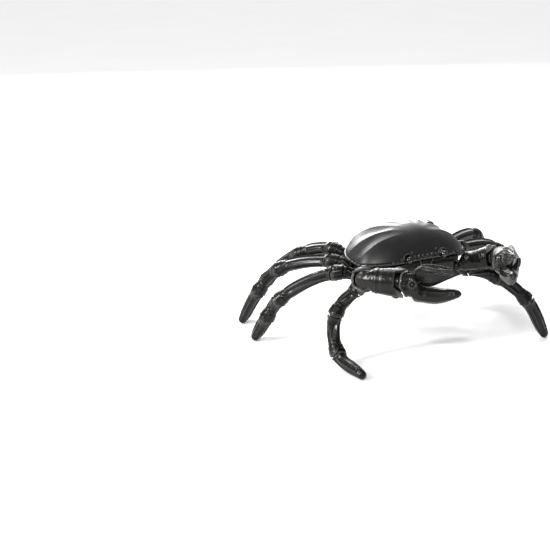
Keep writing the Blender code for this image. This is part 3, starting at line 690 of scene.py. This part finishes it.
def build_palm(limb, wrist_frame, forward, up, across):
    """Ball, collar and palm with its fixed lower finger, slotted for the upper one."""
    sides = PALM_SIDES
    wrist, axis, facing = wrist_frame
    flat = square_to(across, facing)
    offset = math.atan2(axis.dot(facing.cross(flat)), axis.dot(flat))
    rings = ball_rings(wrist, across, facing, KNUCKLE * WRIST_SCALE, sides)
    rings += collar_rings(wrist, across, facing, WRIST_SCALE, sides, offset)
    begin = PALM_STATIONS[0][0]
    for s in along(begin + 0.2, PALM_STATIONS[-1][0], RING_STEP):
        centre, half_height, half_width = (curved(PALM_STATIONS, s, k) * MM for k in (1, 2, 3))
        turn = float(smooth(begin, begin + 8.0, s))
        fade = 1.0 - float(smooth(begin, begin + SCALLOP_FADE * WRIST_SCALE, s))
        way = facing.lerp(forward, turn)
        rings.append(oval(wrist + way * s * MM + up * centre, way.normalized(), across, half_width,
                          half_height, sides, palm_relief(s),
                          ear_curve(SCALLOP * WRIST_SCALE * fade, offset), 2.1))
    palm = Shape()
    palm.add_rings(rings, wrist - facing * KNUCKLE * WRIST_SCALE,
                   wrist + forward * PALM_TIP[0] * MM + up * PALM_TIP[1] * MM)
    item = palm.make(limb + "_palm_cast", 70)
    centre = wrist + forward * SLOT_CENTRE[0] * MM + up * SLOT_CENTRE[1] * MM
    cut_away(item, [box_mesh(centre, (forward, across, up), [size * MM for size in SLOT_SIZE])])
    extra = Shape()
    rivets(extra, wrist_frame, WRIST_SCALE)
    spots = list(TIP_KNOBS)
    for reach, count in ARC_KNOBS:
        for k in range(count):
            c, s = cos_sin(128 + 80 * k / (count - 1))
            spots.append((ARC_CENTRE[0] + reach * c, ARC_CENTRE[1] + reach * s, ARC_KNOB_RADIUS))
    for s, height, size in spots:
        for way in (across, -across):
            add_cheek_knob(extra, wrist, (forward, up, way), s, height, size * MM)
    return joined(item, extra.make(limb + "_knobs"))


def add_cheek_knob(shape, wrist, directions, s, height, size):
    """Small round knob on the palm's side, s mm forward and height mm up."""
    forward, up, way = directions
    centre, half_height, half_width = (curved(PALM_STATIONS, s, k) for k in (1, 2, 3))
    rise = max(-0.95, min(0.95, (height - centre) / half_height))
    side = half_width * math.sqrt(1.0 - rise * rise)
    out = (way * (side / half_width ** 2) + up * (rise / half_height)).normalized()
    place = wrist + forward * s * MM + up * (centre + rise * half_height) * MM + way * side * MM
    add_dome(shape, place - out * 0.15 * MM, out, size, 0.75 * size, 14, 4)


def build_finger(limb, wrist, pivot, forward, up, across):
    """Leaf-shaped upper finger on a thin tongue, opened as in the CAD."""
    tip = farthest(limb + "_finger", pivot)
    lever = forward * (FINGER_TIP[0] - FINGER_PIVOT[0]) * MM + up * (FINGER_TIP[1] - FINGER_PIVOT[1]) * MM
    opened = lever.angle(tip - pivot)
    turn = min((Matrix.Rotation(angle, 3, across) for angle in (opened, -opened)),
               key=lambda m: (m @ lever - (tip - pivot)).length)
    rings = []
    for s in along(FINGER_STATIONS[0][0], FINGER_STATIONS[-1][0], RING_STEP):
        centre, half_height, half_width = (curved(FINGER_STATIONS, s, k) * MM for k in (1, 2, 3))
        place = wrist + forward * s * MM + up * centre
        rings.append(oval(pivot + turn @ (place - pivot), turn @ forward, across, half_width, half_height,
                          PALM_SIDES, finger_relief(s), power=2.2))
    heel = wrist + forward * FINGER_HEEL[0] * MM + up * FINGER_HEEL[1] * MM
    finger = Shape()
    finger.add_rings(rings, pivot + turn @ (heel - pivot), tip)
    return finger.make(limb + "_finger_cast", 70)


def box_mesh(centre, axes, size):
    """Closed box used as a cutter."""
    mesh = bpy.data.meshes.new("box")
    cutter = bmesh.new()
    bmesh.ops.create_cube(cutter, size=1.0)
    basis = Matrix(axes).transposed() @ Matrix.Diagonal(size)
    bmesh.ops.transform(cutter, matrix=Matrix.Translation(centre) @ basis.to_4x4(), verts=cutter.verts)
    bmesh.ops.recalc_face_normals(cutter, faces=cutter.faces)
    cutter.to_mesh(mesh)
    cutter.free()
    return mesh


def cut_away(item, meshes):
    """Subtract meshes from an item and apply the result."""
    cutters = bpy.data.collections.new("cutters")
    bpy.context.scene.collection.children.link(cutters)
    tools = []
    for mesh in meshes:
        tool = bpy.data.objects.new("tool", mesh)
        cutters.objects.link(tool)
        tools.append(tool)
    modifier = item.modifiers.new("cut", "BOOLEAN")
    modifier.operation = "DIFFERENCE"
    modifier.solver = "EXACT"
    modifier.operand_type = "COLLECTION"
    modifier.collection = cutters
    bpy.context.view_layer.update()
    depsgraph = bpy.context.evaluated_depsgraph_get()
    result = bpy.data.meshes.new_from_object(item.evaluated_get(depsgraph))
    item.modifiers.clear()
    item.data = result
    for tool in tools:
        bpy.data.objects.remove(tool)
    bpy.data.collections.remove(cutters)
    shade_smooth(result, 45)


def joined(item, other):
    """One object from two."""
    together = bmesh.new()
    together.from_mesh(item.data)
    together.from_mesh(other.data)
    together.to_mesh(item.data)
    together.free()
    bpy.data.objects.remove(other)
    shade_smooth(item.data)
    return item


# ---- shell ---------------------------------------------------------------
SHELL_EDGE = (
    (0.000, -0.0280, 0.0850), (0.020, -0.0275, 0.0845), (0.040, -0.0225, 0.0830), (0.0550, -0.0110, 0.0815),
    (0.0565, 0.0040, 0.0815), (0.0535, 0.0200, 0.0825), (0.0430, 0.0350, 0.0840), (0.0240, 0.0450, 0.0850),
    (0.000, 0.0480, 0.0850))
SHELL_TOP = 0.1110
SHELL_WALL = 2.4 * MM
SHELL_TOP_WALL = 1.15 * SHELL_WALL
SHELL_MEAN_RADIUS = 0.045
SHELL_STEPS = 64
# (power, root) of the shell's curve from edge to top: higher and lower make it fuller.
SHELL_FULL_FRONT = (1.80, 0.78)
SHELL_FULL_REAR = (2.55, 0.60)
RIM_RADIUS = 1.0 * MM
# (height, radius) in mm
BOSS_PROFILE = ((64.5, 1.7), (64.5, 3.9), (65.0, 4.2), (108.0, 4.2), (108.2, 1.7))
EYE_X = 0.019
EYE_BALL = (-0.0285, 0.0872)
EYE_NOTCH_RADIUS = 4.6 * MM
EYE_NOTCH_HALF_LENGTH = 8.5 * MM
ORBIT_HALF_WIDTH = 5.0 * MM
ORBIT_HEIGHT = 4.6 * MM
ORBIT_BEAD = 0.75 * MM
# The ribs fan out from this point; their headings are for the +X side.
FAN_POINT = (0.0, -0.0120)
RIB_HEADINGS = (7.0, 27.0, 50.0, 73.0)
RIB_DEPTH = 1.7 * MM
RIB_CREST = 0.45 * MM
RIB_HALF_WIDTH = 0.9 * MM
BROW_FRONT = -0.0270
# (sideways, back from the brow's front, radius) in mm
BROW_KNOBS = (
    (2.6, 0.4, 1.3), (7.2, 0.3, 1.5), (11.6, 0.5, 1.2), (13.2, 2.6, 1.0), (24.6, 1.4, 1.3),
    (28.6, 1.6, 1.0), (33.0, 2.6, 1.1))
# (place along the edge's loop, radius in mm)
MARGIN_KNOBS = (
    (3, 1.0), (7, 0.9), (17, 1.0), (20, 0.9), (24, 1.0), (29, 1.1), (34, 1.2), (39, 1.2), (43, 1.1),
    (47, 1.0), (51, 1.0))
KNOB_LOOP_STEPS = 12


def closed_edge(half, steps):
    """Smooth closed loop through half an outline and its mirror image."""
    points = [Vector(point) for point in half]
    points += [Vector((-p.x, p.y, p.z)) for p in reversed(points[1:-1])]
    count = len(points)
    loop = []
    for i in range(count):
        before, start, end, after = (points[(i + k) % count] for k in (-1, 0, 1, 2))
        for step in range(steps):
            t = step / steps
            loop.append(0.5 * (2 * start + (end - before) * t
                               + (2 * before - 5 * start + 4 * end - after) * t ** 2
                               + (3 * start - before - 3 * end + after) * t ** 3))
    return loop


def shell_height(edge_point, share):
    """Height of the shell at a share of the way from its centre to a point of its edge."""
    out = edge_point - BODY_CENTRE
    rearward = 0.5 + 0.5 * out.y / math.hypot(out.x, out.y)
    power = SHELL_FULL_FRONT[0] + (SHELL_FULL_REAR[0] - SHELL_FULL_FRONT[0]) * rearward
    root = SHELL_FULL_FRONT[1] + (SHELL_FULL_REAR[1] - SHELL_FULL_FRONT[1]) * rearward
    return edge_point.z + (SHELL_TOP - edge_point.z) * (1.0 - share ** power) ** root


def rib_drop(x, y):
    """How far the hollows between the ribs lie below the shell's surface."""
    out_x, out_y = abs(x) - FAN_POINT[0], y - FAN_POINT[1]
    distance = math.hypot(out_x, out_y)
    heading = math.degrees(math.atan2(out_y, out_x))
    swell = float(smooth(0.010, 0.046, distance))
    crest = 0.0
    for rib in RIB_HEADINGS:
        aside = distance * math.radians(heading - rib)
        crest += RIB_CREST * math.exp(-(aside / RIB_HALF_WIDTH) ** 2)
    if heading < RIB_HEADINGS[0] or heading > 90.001:
        return -crest * swell
    marks = list(RIB_HEADINGS) + [180.0 - RIB_HEADINGS[-1]]
    for low, high in zip(marks, marks[1:]):
        if low <= heading <= high:
            u = (heading - low) / (high - low)
            return (RIB_DEPTH * math.sin(math.pi * u) ** 1.3 - crest) * swell
    return 0.0


def build_shell():
    """Hollow ribbed shell with a rolled rim, notches for the eyes and a boss for the screw."""
    edge = closed_edge(SHELL_EDGE, 16)
    shares = [1.0 - 0.5 * (1 - math.cos(math.pi * k / SHELL_STEPS)) for k in range(SHELL_STEPS - 1)]
    outer = []
    inner = []
    for share in shares:
        ring = []
        for p in edge:
            flat = BODY_CENTRE + (p - BODY_CENTRE) * share
            height = shell_height(p, share)
            drop = rib_drop(flat.x, flat.y) * (0.35 + 0.65 * float(smooth(1.0, 0.9, share)))
            ring.append((flat.x, flat.y, height - drop))
        outer.append(ring)
    for share in shares:
        shrink = share * (1 - SHELL_WALL / SHELL_MEAN_RADIUS)
        ring = []
        for p in edge:
            flat = BODY_CENTRE + (p - BODY_CENTRE) * shrink
            height = p.z if share == 1.0 else max(p.z, shell_height(p, share) - SHELL_TOP_WALL)
            drop = rib_drop(flat.x, flat.y) if share < 0.93 else 0.0
            ring.append((flat.x, flat.y, max(p.z, height - drop)))
        inner.append(ring)
    # A rolled rim runs round the edge.
    rim = []
    for angle in (150, 110, 70, 30, -10, -50, -90):
        c, s = cos_sin(angle)
        ring = []
        for p in edge:
            out = (p - BODY_CENTRE)
            out.z = 0
            out.normalize()
            ring.append((p.x + out.x * (c - 0.5) * RIM_RADIUS, p.y + out.y * (c - 0.5) * RIM_RADIUS,
                         p.z + (s + 1.0) * RIM_RADIUS))
        rim.append(ring)
    outer = [ring for share, ring in zip(shares, outer) if share < 0.985]
    rings = list(reversed(outer)) + rim + inner
    rings = [[placed(*p) for p in ring] for ring in rings]
    top = placed(0.0, BODY_CENTRE.y, SHELL_TOP - rib_drop(0.0, BODY_CENTRE.y))
    shape = Shape()
    shape.add_rings(rings, top, top - UP * SHELL_TOP_WALL)
    shell = shape.make("shell_cast", 60)

    cutters = []
    for side in (-1, 1):
        notch = placed(side * EYE_X, EYE_BALL[0] - 0.001, EYE_BALL[1] - 0.0004)
        cutters.append(drum(notch, BACKWARDS, EYE_NOTCH_RADIUS, EYE_NOTCH_HALF_LENGTH, 48))
    cut_away(shell, cutters)

    detail = Shape()
    for side in (-1, 1):
        add_orbit(detail, side)
        add_margin_knobs(detail, side)
        add_brow_knobs(detail, side)
    turned(detail, BODY_CENTRE - FOOTPRINT_CENTRE, UP, [(h * MM, r * MM) for h, r in BOSS_PROFILE], 32)
    shell = joined(shell, detail.make("shell_detail"))
    finish(shell, "body", SHELL, "black_lacquer", "shell")


def drum(centre, axis, radius, half_length, sides):
    """Closed round cutter."""
    shape = Shape()
    turned(shape, centre, axis, ((-half_length, radius), (half_length, radius)), sides)
    return shape.mesh("drum")


def bead_path(shape, points, radius, sides=14, taper=0.0):
    """Round bead along a path, with rounded ends."""
    rings = []
    count = len(points)
    for i, point in enumerate(points):
        way = (points[min(i + 1, count - 1)] - points[max(i - 1, 0)]).normalized()
        share = i / (count - 1)
        end = min(1.0, 0.25 + 4 * min(share, 1 - share))
        size = radius * (1 - taper * share) * math.sin(0.5 * math.pi * end)
        rings.append(oval(point, way, square_to(Vector((0.2, 0.9, 0.4)), way), size, size, sides))
    shape.add_rings(rings, points[0], points[-1])


def add_orbit(shape, side):
    """Raised lip over each eye."""
    centre = placed(side * EYE_X, -0.0278, EYE_BALL[1] - 0.0002)
    points = []
    for k in range(25):
        c, s = cos_sin(10 + 160 * k / 24)
        points.append(centre + Vector((ORBIT_HALF_WIDTH * c, 2.2 * MM * s, ORBIT_HEIGHT * s)))
    bead_path(shape, points, ORBIT_BEAD)


def shell_point(x, y):
    """Point of the shell's outer surface over (x, y) of the crab's own frame."""
    out = Vector((x, y, 0)) - BODY_CENTRE
    edge = min(closed_edge(SHELL_EDGE, KNOB_LOOP_STEPS),
               key=lambda p: abs(math.atan2(p.y - BODY_CENTRE.y, p.x) - math.atan2(out.y, out.x)))
    share = min(0.995, math.hypot(out.x, out.y) / math.hypot(edge.x, edge.y - BODY_CENTRE.y))
    return placed(x, y, shell_height(edge, share) - rib_drop(x, y))


def add_brow_knobs(shape, side):
    """Small uneven knobs over the front edge, round the eyes."""
    for x, back, size in BROW_KNOBS:
        place = shell_point(side * x * MM, BROW_FRONT + back * MM)
        add_dome(shape, place, Vector((0.1 * side, -0.8, 0.6)), size * MM, 0.9 * size * MM, 16, 5)


def add_margin_knobs(shape, side):
    """Row of knobs along the front edge, from the eye to the corner."""
    edge = closed_edge(SHELL_EDGE, KNOB_LOOP_STEPS)
    for index, size in MARGIN_KNOBS:
        p = edge[index]
        out = Vector((p.x, p.y - BODY_CENTRE.y, 0)).normalized()
        out.x *= side
        place = placed(side * p.x, p.y, p.z) + out * 0.3 * MM + UP * 1.6 * MM
        add_dome(shape, place, out + UP * 0.55, size * MM, size * MM, 18, 6)


# ---- tray, face and small parts -------------------------------------------
TRAY_EDGE = (
    (0.000, -0.0250, 0.0822), (0.018, -0.0248, 0.0818), (0.034, -0.0240, 0.0808), (0.0455, -0.0165, 0.0800),
    (0.0480, -0.0010, 0.0795), (0.0465, 0.0130, 0.0800), (0.0405, 0.0260, 0.0810), (0.0250, 0.0375, 0.0830),
    (0.000, 0.0405, 0.0835))
TRAY_SECTIONS = (
    (0.0580, 0.40), (0.0580, 0.72), (0.0582, 0.76), (0.0592, 0.83), (0.0605, 0.90), (0.0622, 0.955),
    (0.0645, 1.0), (0.0700, 1.0), (0.0760, 1.0))
TRAY_HOLLOW = 0.70
TRAY_BASE = 0.058
TRAY_FLOOR = 0.0625
POCKET_ROOM = 0.9 * MM
MOUTH_LENGTH = 0.020
SCREW_BASE = placed(0.0, BODY_CENTRE.y, TRAY_BASE)
SCREW_RECESS_RADIUS = 3.5 * MM
SCREW_RECESS_DEPTH = 2.4 * MM
SCREW_SLOT = (9 * MM, 0.9 * MM, 1.8 * MM)
# (height, radius) in mm
SCREW_PROFILE = ((0.0, 2.4), (0.25, 3.0), (0.7, 3.2), (2.0, 3.2), (2.0, 1.4), (28.0, 1.4))
ROOT_PIN_PROFILE = ((-7.8, 0.6), (-7.5, 1.0), (7.5, 1.0), (7.8, 0.6))
EYE_PEG = (-0.0208, 0.0756)
EYE_PEG_PROFILE = ((75.7, 1.0), (76.0, 1.3), (82.2, 1.3))
EYE_ELBOW = 0.0832
EYE_STALK = ((1.0, 1.4), (2.2, 1.5), (3.2, 1.45), (3.9, 2.0), (4.4, 2.1), (4.8, 1.75))
EYE_RADIUS = 3.0 * MM
MOUTH_PLATE = (0.0042, -0.0266, 0.0735)
MOUTH_PEG_PROFILE = ((-1.6, 1.0), (2.0, 1.0))


def scaled(loop, share, height=None):
    """A loop drawn in towards the body's centre, at its own heights or at one."""
    points = []
    for p in loop:
        flat = BODY_CENTRE + (p - BODY_CENTRE) * share
        points.append(placed(flat.x, flat.y, p.z if height is None else height))
    return points


def build_tray():
    edge = closed_edge(TRAY_EDGE, 10)
    rings = [scaled(edge, share, height) for height, share in TRAY_SECTIONS]
    rings += [scaled([Vector((p.x, p.y, p.z - 0.6 * MM)) for p in edge], 1.0), scaled(edge, 0.985),
              scaled(edge, TRAY_HOLLOW), scaled(edge, TRAY_HOLLOW - 0.04, TRAY_FLOOR)]
    shape = Shape()
    shape.add_rings(rings, placed(0, BODY_CENTRE.y, TRAY_BASE), placed(0, BODY_CENTRE.y, TRAY_FLOOR))
    tray = shape.make("body_tray_cast", 40)
    cutters = []
    for side in ("right", "left"):
        limbs = [(f"{side}_leg_{number}", "lift", 1.0) for number in (1, 2, 3, 4)]
        limbs.append((f"{side}_claw", "elbow", CLAW_SCALE_ROOT))
        for limb, following, scale in limbs:
            root = JOINTS[f"{limb}_swing"][0]
            out = JOINTS[f"{limb}_{following}"][0] - root
            out.z = 0
            out.normalize()
            radius = KNUCKLE * scale + POCKET_ROOM
            cutters.append(drum(root, UP, radius, radius, 36))
            cutters.append(pocket_mouth(root, out, radius))
    cutters.append(drum(SCREW_BASE, UP, SCREW_RECESS_RADIUS, SCREW_RECESS_DEPTH, 36))
    cut_away(tray, cutters)
    finish(tray, "body", LIMB, "black_lacquer", "body_tray")


def pocket_mouth(root, out, radius):
    """Round-cornered opening from a pocket outwards."""
    half_width, half_height = radius + 0.7 * MM, radius + 1.4 * MM
    rings = [oval(root + out * s, out, UP.cross(out), half_width, half_height, 40, power=5.0)
             for s in (0.0, MOUTH_LENGTH)]
    shape = Shape()
    shape.add_rings(rings, root, root + out * MOUTH_LENGTH)
    return shape.mesh("mouth")


def build_eye(side):
    """Peg, bent stalk and ball in one."""
    x = (-1 if side == "right" else 1) * EYE_X
    peg = placed(x, EYE_PEG[0], 0.0)
    ball = placed(x, *EYE_BALL)
    elbow = peg + UP * EYE_ELBOW
    way = (ball - elbow).normalized()
    rings = [oval(peg + UP * h * MM, UP, SIDEWAYS, r * MM, r * MM, 32) for h, r in EYE_PEG_PROFILE]
    rings += [oval(elbow + way * s * MM, way, SIDEWAYS, r * MM, r * MM, 32) for s, r in EYE_STALK]
    for angle in range(-50, 90, 10):
        c, s = cos_sin(angle)
        rings.append(oval(ball + way * EYE_RADIUS * s, way, SIDEWAYS, EYE_RADIUS * c, EYE_RADIUS * c, 32))
    shape = Shape()
    shape.add_rings(rings, peg + UP * EYE_PEG[1], ball + way * EYE_RADIUS)
    finish(shape.make(side + "_eye_polished", 60), side + "_eye", EYE, "polished_eye", side + "_eye")


def build_mouth_plate(side):
    """Tall rippled plate on a peg, with a short feeler above it."""
    sign = -1 if side == "right" else 1
    centre = placed(sign * MOUTH_PLATE[0], *MOUTH_PLATE[1:])
    shape = Shape()
    rings = []
    for k in range(31):
        height = -7.5 + 15.0 * k / 30
        ends = math.sqrt(max(0.0, 1 - (height / 7.6) ** 6))
        half_width = (3.5 - 0.7 * (height / 7.5)) * ends * MM
        ridge = 0.25 * math.cos(height * 1.6)
        rings.append(oval(centre + UP * height * MM, UP, SIDEWAYS, half_width,
                          (1.1 + ridge * 0.5) * ends * MM, 32, power=3.0))
    shape.add_rings(rings, centre - UP * 7.5 * MM, centre + UP * 7.5 * MM)
    turned(shape, centre + BACKWARDS * 1.6 * MM, BACKWARDS, [(h * MM, r * MM) for h, r in MOUTH_PEG_PROFILE])
    feeler = []
    for k in range(17):
        t = k / 16
        feeler.append(centre + Vector((sign * (1.2 + 3.4 * t * t) * MM, -(0.3 + 1.6 * math.sin(2.2 * t)) * MM,
                                       (5.5 + 8.0 * t) * MM)))
    bead_path(shape, feeler, 0.75 * MM, taper=0.5)
    finish(shape.make(side + "_mouth_plate_cast", 60), "body", SHELL, "black_lacquer", side + "_mouth_plate")


def build_root_pin(limb):
    root = JOINTS[f"{limb}_swing"][0]
    shape = Shape()
    turned(shape, root, UP, [(h * MM, r * MM) for h, r in ROOT_PIN_PROFILE], 20)
    finish(shape.make(limb + "_root_pin_turned"), "body", PIN, "pin_metal", limb + "_root_pin")


def build_screw():
    shape = Shape()
    turned(shape, SCREW_BASE, UP, [(h * MM, r * MM) for h, r in SCREW_PROFILE], 40)
    screw = shape.make("body_screw_turned")
    cut_away(screw, [box_mesh(SCREW_BASE, (SIDEWAYS, BACKWARDS, UP), SCREW_SLOT)])
    finish(screw, "body", SCREW, "screw_metal", "body_screw")


# ---- build ---------------------------------------------------------------
build_shell()
build_tray()
build_screw()
for side in ("right", "left"):
    build_eye(side)
    build_mouth_plate(side)
    for number in (1, 2, 3, 4):
        build_leg(side, number)
        build_root_pin(f"{side}_leg_{number}")
    build_claw(side)
    build_root_pin(f"{side}_claw")


# ---- floor, light and camera ----------------------------------------------
FLOOR_HALF_WIDTH = 60           # metres, so that it reaches the horizon
FLOOR_GAP = 0.05 * MM           # the floor lies just under the toes


def build_floor():
    mesh = bpy.data.meshes.new("floor")
    far = FLOOR_HALF_WIDTH
    mesh.from_pydata([(-far, -far, 0), (far, -far, 0), (far, far, 0), (-far, far, 0)], [], [(0, 1, 2, 3)])
    floor = linked("floor", mesh)
    floor.location.z = -FLOOR_GAP
    material, tree, shader = node_tree("pale_floor")
    place = add_node(tree, "ShaderNodeTexCoord").outputs["Object"]
    clouds = noise(tree, place, 6.0).outputs["Fac"]
    tone = ramp(tree, clouds, ((0.3, (0.93, 0.93, 0.93)), (0.7, (0.95, 0.95, 0.95))))
    connect(tree, shader, {"Base Color": tone, "Roughness": 0.9, "Specular IOR Level": 0.1})
    mesh.materials.append(material)


def add_light(name, kind, power, place, target):
    data = bpy.data.lights.new(name, kind)
    data.energy = power
    item = linked(name, data)
    item.location = place
    item.rotation_euler = (Vector(target) - Vector(place)).to_track_quat("-Z", "Y").to_euler()
    item.visible_camera = False
    return data


def softbox(name, place, target, size, power):
    data = add_light(name, "AREA", power, place, target)
    data.shape = "RECTANGLE"
    data.size, data.size_y = size


def build_world(strength):
    world = bpy.data.worlds.new("studio")
    world.use_nodes = True
    connect(world.node_tree, world.node_tree.nodes["Background"],
            {"Color": (1.0, 1.0, 1.0, 1.0), "Strength": strength})
    bpy.context.scene.world = world


build_floor()
build_world(0.33)
# Very soft light from behind, which whitens the whole floor.
add_light("overcast", "SUN", 3.0, (0.50, 1.00, 0.75), (0, 0, 0)).angle = math.radians(62)
softbox("back_softbox", (0.55, 1.45, 0.62), (0, 0, 0.10), (1.0, 0.35), 15)
softbox("left_strip", (-1.15, 0.15, 0.75), (0, 0, 0.07), (0.12, 0.6), 18)
softbox("front_strip", (-0.95, -0.95, 1.10), (0, 0, 0.07), (0.25, 0.06), 12)

camera_data = bpy.data.cameras.new("camera")
camera_data.sensor_width = 36.0
camera_data.lens = 79.2
camera = linked("camera", camera_data)
camera.location = (-0.65037, -0.85451, 0.39661)
camera.rotation_euler = (math.radians(72.2805), 0.0, math.radians(-30.4889))
bpy.context.scene.camera = camera
bpy.context.scene.view_settings.view_transform = "Standard"
